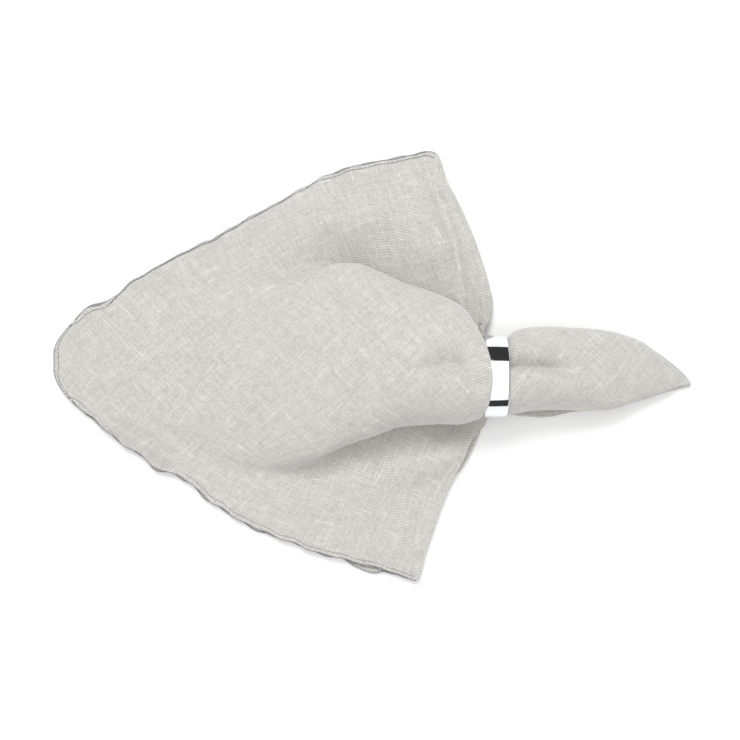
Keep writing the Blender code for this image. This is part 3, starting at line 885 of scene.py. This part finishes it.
def build_napkin():
    """The folded cloth, and the hem path of each layer with a path further in beside it."""
    rows, normals, flat = top_layer()
    hem = distances_to(rows[..., :2], around(rows[..., :2]))
    raised = relief(rows, normals, hem)
    cloth = Cloth()
    grids = []
    hems = []
    all_columns = range(2 * HALF_STEPS + 1)
    for layer in range(LAYERS):
        columns = hidden_columns() if layer else all_columns
        points = layer_points(rows, normals, raised, hem, layer)
        threads = thread_places(rows, flat, layer)
        grids.append(cloth.add_grid(points[:, columns], threads[:, columns], hem[:, columns]))
        inner = points.copy()
        inner[:, 0] = points[:, INWARD_POINTS]
        inner[:, -1] = points[:, -1 - INWARD_POINTS]
        inner[-1] = points[-1 - INWARD_ROWS]
        hems.append((around(points), around(inner)))
    outer_fold = add_strip(cloth, grids, 0, 3, -1, -2)
    inner_fold = add_strip(cloth, grids, 1, 2, -1, -2)
    upper_pair = add_strip(cloth, grids, 0, 1, 0, 1)
    lower_pair = add_strip(cloth, grids, 3, 2, 0, 1)
    # The very tip of the folded centre is closed
    for k in range(FOLD_STEPS):
        cloth.faces.append((outer_fold[k], outer_fold[k + 1], inner_fold[k + 1], inner_fold[k]))
    for top, under in ((grids[0][0], grids[1][0]), (grids[3][0], grids[2][0])):
        cloth.faces.append(tuple(top) + tuple(under[::-1]))
    cloth.faces.append(tuple(upper_pair))
    cloth.faces.append(tuple(lower_pair))
    napkin = cloth.make("napkin_cloth")
    thickness = napkin.modifiers.new("thickness", "SOLIDIFY")
    thickness.thickness = CLOTH_THICK * MM
    thickness.offset = 0.0
    return napkin, hems


def along_line(points, spacing):
    """Places along a line of points at an even spacing: which point is before, and how far on."""
    steps = np.linalg.norm(np.diff(points, axis=0), axis=1)
    total = np.concatenate(([0.0], np.cumsum(steps)))
    at = np.arange(0.0, total[-1], spacing)
    k = np.clip(np.searchsorted(total, at, side="right") - 1, 0, len(points) - 2)
    return k, (at - total[k]) / steps[k]


def mix_at(values, k, t):
    return values[k] * (1 - t)[:, None] + values[k + 1] * t[:, None]


def add_tube(bm, points, radius, sides):
    """A thin round thread through the points."""
    ahead = unit(np.gradient(points, axis=0))
    side = unit(np.cross(ahead, ASIDE))
    other = np.cross(ahead, side)
    rings = []
    for k in range(sides):
        turn = 2 * pi * k / sides
        rings.append(points + radius * (side * cos(turn) + other * sin(turn)))
    verts = [[bm.verts.new(place * MM) for place in ring] for ring in rings]
    for k in range(sides):
        a, b = verts[k], verts[(k + 1) % sides]
        for i in range(len(points) - 1):
            bm.faces.new((a[i], a[i + 1], b[i + 1], b[i]))
    bm.faces.new([ring[0] for ring in verts][::-1])
    bm.faces.new([ring[-1] for ring in verts])


def above_table(points, radius):
    """The points of a thread, none of them so low that the thread would reach the table."""
    points[:, 2] = np.maximum(points[:, 2], radius)
    return points


def build_stitches(hems):
    """The overlock thread: lacing over and under the hem, and a needle line and an edge bead."""
    lacing = bmesh.new()
    edging = bmesh.new()
    for edge, inner in hems:
        k, t = along_line(edge, STITCH_LENGTH / POINTS_PER_STITCH)
        place = mix_at(edge, k, t)
        inwards = unit(mix_at(inner - edge, k, t))
        upwards = unit(np.cross(inwards, unit(np.gradient(place, axis=0))))
        turn = 2 * pi * np.arange(len(k)) / POINTS_PER_STITCH
        depth = STITCH_DEPTH * np.abs(np.cos(turn)) - LACING_OUT
        height = STITCH_RISE * np.clip(LACING_FLATNESS * np.cos(turn), -1.0, 1.0)
        lace = place + inwards * depth[:, None] + upwards * height[:, None]
        add_tube(lacing, above_table(lace, LACING_RADIUS), LACING_RADIUS, LACING_SIDES)
        place = place[::EDGING_EVERY]
        inwards = inwards[::EDGING_EVERY]
        upwards = upwards[::EDGING_EVERY]
        swing = np.cos(2 * turn[::EDGING_EVERY])
        # The needle line dips under the cloth between stitches and shows as short dark dashes:
        # painted shade of the needle holes
        needle_height = STITCH_RISE * (NEEDLE_HEIGHT - NEEDLE_SWING * swing)
        needle = place + inwards * STITCH_DEPTH + upwards * needle_height[:, None]
        add_tube(edging, above_table(needle, NEEDLE_RADIUS), NEEDLE_RADIUS, NEEDLE_SIDES)
        bead = place + upwards * (BEAD_HEIGHT * STITCH_RISE)
        bead_radius = BEAD_RADIUS * (1.0 - BEAD_SWING * swing)[:, None]
        add_tube(edging, above_table(bead, BEAD_RADIUS), bead_radius, BEAD_SIDES)
    named = ((lacing, "hem_lacing"), (edging, "hem_edging"))
    return [smooth_object(bm, bpy.data.meshes.new(name)) for bm, name in named]


def build_ring():
    """A turned band with rounded edges, at the place of the CAD ring."""
    inner = RING_RADIUS - RING_WALL
    r = RING_EDGE_ROUND
    corners = [
        (RING_HALF_WIDTH - r, RING_RADIUS - r, 0),
        (r - RING_HALF_WIDTH, RING_RADIUS - r, 90),
        (r - RING_HALF_WIDTH, inner + r, 180),
        (RING_HALF_WIDTH - r, inner + r, 270),
    ]
    profile = []
    for x, radius, turn in corners:
        for step in range(RING_CORNER_STEPS + 1):
            angle = radians(turn + 90 * step / RING_CORNER_STEPS)
            profile.append((x + r * cos(angle), radius + r * sin(angle)))
    bm = bmesh.new()
    verts = [bm.verts.new((x * MM, 0.0, radius * MM)) for x, radius in profile]
    sides = [bm.edges.new((verts[i], verts[(i + 1) % len(verts)])) for i in range(len(verts))]
    bmesh.ops.spin(
        bm,
        geom=verts + sides,
        cent=(0, 0, 0),
        axis=(1, 0, 0),
        angle=2 * pi,
        steps=RING_SIDES,
        use_merge=True,
    )
    ring = smooth_object(bm, bpy.data.meshes.new("ring_band"))
    ring.location = RING_CENTRE * MM
    return ring


class Nodes:
    """Short calls for a material's nodes. In them an input's name has _ for a space."""

    def __init__(self, name):
        self.material = bpy.data.materials.new(name)
        self.material.use_nodes = True
        self.tree = self.material.node_tree
        self.shader = self.tree.nodes["Principled BSDF"]

    def feed(self, socket, value):
        if isinstance(value, bpy.types.NodeSocket):
            self.tree.links.new(value, socket)
        else:
            socket.default_value = value

    def give(self, node, inputs):
        for name, value in inputs.items():
            self.feed(node.inputs[name.replace("_", " ")], value)

    def add(self, kind, **inputs):
        node = self.tree.nodes.new("ShaderNode" + kind)
        self.give(node, inputs)
        return node

    def look(self, **inputs):
        """Sets and links the shader's own sockets."""
        self.give(self.shader, inputs)

    def math(self, operation, first, second=0.0, third=0.0):
        node = self.add("Math")
        node.operation = operation
        for socket, value in zip(node.inputs, (first, second, third)):
            self.feed(socket, value)
        return node.outputs[0]

    def attribute(self, name, output):
        node = self.add("Attribute")
        node.attribute_name = name
        return node.outputs[output]

    def vector(self, x, y, z=0.0):
        return self.add("CombineXYZ", X=x, Y=y, Z=z).outputs[0]

    def noise(self, vector, scale, detail=2.0):
        node = self.add("TexNoise", Vector=vector, Scale=scale, Detail=detail)
        return node.outputs["Fac"]

    def ramp(self, value, low, high, start=0.0, end=1.0):
        limits = {"From_Min": low, "From_Max": high, "To_Min": start, "To_Max": end}
        node = self.add("MapRange", Value=value, **limits)
        node.interpolation_type = "SMOOTHSTEP"
        return node.outputs[0]

    def mix(self, factor, first, second):
        """The first colour where the factor is 0, the second where it is 1."""
        node = self.add("Mix")
        node.data_type = "RGBA"
        for k, value in ((0, factor), (6, first), (7, second)):
            self.feed(node.inputs[k], value)
        return node.outputs[2]

    def tone(self, factor, first, second):
        """The first number where the factor is 0, the second where it is 1."""
        node = self.add("Mix")
        for k, value in ((0, factor), (2, first), (3, second)):
            self.feed(node.inputs[k], value)
        return node.outputs[0]

    def thread_noise(self, number, along, apart, start, fineness, detail=2.0):
        """Noise that differs from thread to thread and changes slowly along each."""
        across = self.math("MULTIPLY", number, apart)
        place = self.vector(across, self.math("MULTIPLY", along, fineness), start)
        return self.noise(place, 1.0, detail)

    def slubs(self, number, along, apart, start):
        """Short thick places, 1 where a thread has one."""
        noise = self.thread_noise(number, along, apart, start, SLUB_FINENESS, 0.0)
        return self.ramp(noise, *SLUB_LEVELS)

    def scale_colour(self, colour, factor):
        node = self.add("VectorMath")
        node.operation = "SCALE"
        self.feed(node.inputs[0], colour)
        self.feed(node.inputs["Scale"], factor)
        return node.outputs[0]

    def bump(self, height, strength, distance):
        """Fine relief on the surface."""
        node = self.add("Bump", Height=height, Strength=strength, Distance=distance * MM)
        self.look(Normal=node.outputs[0])


def linen_material():
    """Plain-woven linen: uneven threads both ways, light slubs, and a grey overlocked band."""
    n = Nodes("linen")
    thread = n.attribute("thread", "Vector")
    parts = n.add("SeparateXYZ", Vector=thread)
    uneven = n.math("SUBTRACT", n.noise(thread, WANDER_FINENESS), 0.5)
    wander = n.math("MULTIPLY", uneven, THREAD_WANDER)
    x = n.math("DIVIDE", n.math("ADD", parts.outputs["X"], wander), THREAD_PITCH)
    y = n.math("DIVIDE", n.math("SUBTRACT", parts.outputs["Y"], wander), THREAD_PITCH)
    warp = n.math("FLOOR", x)
    weft = n.math("FLOOR", y)
    parity = n.math("FLOORED_MODULO", n.math("ADD", warp, weft), 2.0)
    # Painted light and shade of the round threads: the thread on top is lighter along its middle
    # and darker towards its sides. The same profile also gives the bump.
    over_warp = n.math("SINE", n.math("MULTIPLY", n.math("FRACT", x), pi))
    over_weft = n.math("SINE", n.math("MULTIPLY", n.math("FRACT", y), pi))
    weave_relief_and_shade = n.tone(parity, over_weft, over_warp)
    weft_shade = n.thread_noise(weft, x, *WEFT_NOISE, THREAD_FINENESS)
    warp_shade = n.thread_noise(warp, y, *WARP_NOISE, THREAD_FINENESS)
    shade = n.math("ADD", weft_shade, warp_shade)
    slub = n.math("MAXIMUM", n.slubs(weft, x, *WEFT_SLUBS), n.slubs(warp, y, *WARP_SLUBS))
    fleck = n.add("TexWhiteNoise", Vector=n.vector(warp, weft)).outputs["Value"]
    cloudy = n.noise(thread, CLOUD_FINENESS)
    light = n.math("MULTIPLY_ADD", n.math("SUBTRACT", shade, 1.0), SHADE_SHARE, 1.0)
    light = n.math("MULTIPLY_ADD", n.math("SUBTRACT", fleck, 0.5), FLECK_SHARE, light)
    light = n.math("MULTIPLY_ADD", n.math("SUBTRACT", cloudy, 0.5), CLOUD_SHARE, light)
    light = n.math("MULTIPLY_ADD", n.math("SUBTRACT", weave_relief_and_shade, WEAVE_MEAN), WEAVE_SHADE_SHARE, light)
    light = n.math("MULTIPLY_ADD", slub, SLUB_SHARE, light)
    base = n.scale_colour(LINEN_COLOUR, light)
    band = n.ramp(n.attribute("hem", "Fac"), STITCH_DEPTH, STITCH_DEPTH + BAND_FADE, 1.0, 0.0)
    n.look(Base_Color=n.mix(band, base, n.scale_colour(HEM_COLOUR, light)))
    n.bump(n.math("MULTIPLY_ADD", slub, SLUB_HEIGHT, weave_relief_and_shade), strength=0.35, distance=0.12)
    n.look(Roughness=0.9, Diffuse_Roughness=0.35, Sheen_Weight=0.45, Specular_IOR_Level=0.25)
    return n.material


def stitch_material(name, colour):
    """Matte sewing thread with uneven shades and fine bumps."""
    n = Nodes(name)
    place = n.add("TexCoord").outputs["Object"]
    shade = n.ramp(n.noise(place, SHADE_FINENESS), *SHADE_LEVELS, *SHADES)
    n.bump(n.noise(place, BUMP_FINENESS), strength=0.3, distance=0.05)
    n.look(Base_Color=n.scale_colour(colour, shade), Roughness=0.8)
    return n.material


def steel_material():
    """Polished steel with faint marks that run round the band."""
    n = Nodes("polished_steel")
    place = n.add("TexCoord").outputs["Object"]
    parts = n.add("SeparateXYZ", Vector=place)
    across = n.math("MULTIPLY", parts.outputs["X"], MARK_SQUEEZE)
    marks = n.noise(n.vector(across, parts.outputs["Y"], parts.outputs["Z"]), MARK_FINENESS)
    n.bump(marks, strength=0.04, distance=0.01)
    n.look(Roughness=n.ramp(marks, *MARK_LEVELS, *MARK_ROUGHNESS), Metallic=1.0)
    n.look(Base_Color=n.mix(marks, STEEL_COLOUR, MARK_COLOUR))
    return n.material


def table_material():
    n = Nodes("pale_table")
    n.look(Base_Color=TABLE_COLOUR, Roughness=0.7, Specular_IOR_Level=0.1)
    return n.material


def add_table():
    bpy.ops.mesh.primitive_plane_add(size=TABLE_SIDE, location=(0, 0, 0))
    table = bpy.context.object
    table.name = "table_top"
    table.data.materials.append(table_material())
    return table


def add_camera():
    data = bpy.data.cameras.new("camera")
    data.sensor_width = SENSOR
    data.lens = SENSOR * CAMERA_PLACE[2] / VIEW_WIDTH
    data.dof.use_dof = False
    camera = in_scene(data)
    camera.location = [place * MM for place in CAMERA_PLACE]
    bpy.context.scene.camera = camera


def add_panel(panel):
    """A soft light panel that faces its target."""
    data = bpy.data.lights.new(panel.name, "AREA")
    data.shape = "RECTANGLE"
    data.size = panel.width
    data.size_y = panel.depth
    data.energy = panel.power
    light = in_scene(data)
    light.location = panel.place
    away = light.location.copy()
    for axis, target in enumerate(panel.target):
        away[axis] -= target
    light.rotation_euler = away.to_track_quat("Z", "Y").to_euler()


def add_studio():
    """The light panels and a pale room, which the camera sees white and polished metal dark."""
    scene = bpy.context.scene
    scene.view_settings.view_transform = "Standard"
    world = bpy.data.worlds.new("room")
    scene.world = world
    world.use_nodes = True
    tree = world.node_tree
    background = tree.nodes["Background"]
    background.inputs["Color"].default_value = WHITE
    path = tree.nodes.new("ShaderNodeLightPath")
    strength = ROOM_FILL
    for seen, level in (("Is Glossy Ray", ROOM_IN_METAL), ("Is Camera Ray", 1.0)):
        mix = tree.nodes.new("ShaderNodeMix")
        tree.links.new(path.outputs[seen], mix.inputs[0])
        mix.inputs[3].default_value = level
        if isinstance(strength, float):
            mix.inputs[2].default_value = strength
        else:
            tree.links.new(strength, mix.inputs[2])
        strength = mix.outputs[0]
    tree.links.new(strength, background.inputs["Strength"])
    for panel in PANELS:
        add_panel(panel)


def main():
    add_camera()
    table = add_table()
    napkin, hems = build_napkin()
    napkin.data.materials.append(linen_material())
    lacing, edging = build_stitches(hems)
    lacing.data.materials.append(stitch_material("lacing_thread", LACING_COLOUR))
    # Its dark grey is partly painted shade, of the needle holes along the hem
    edging.data.materials.append(stitch_material("edging_thread_and_shade", EDGING_THREAD_AND_SHADE_COLOUR))
    ring = build_ring()
    ring.data.materials.append(steel_material())
    for piece in (napkin, lacing, edging, ring):
        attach(piece, "root")
    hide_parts("napkin")
    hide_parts("ring")
    add_studio()


main()
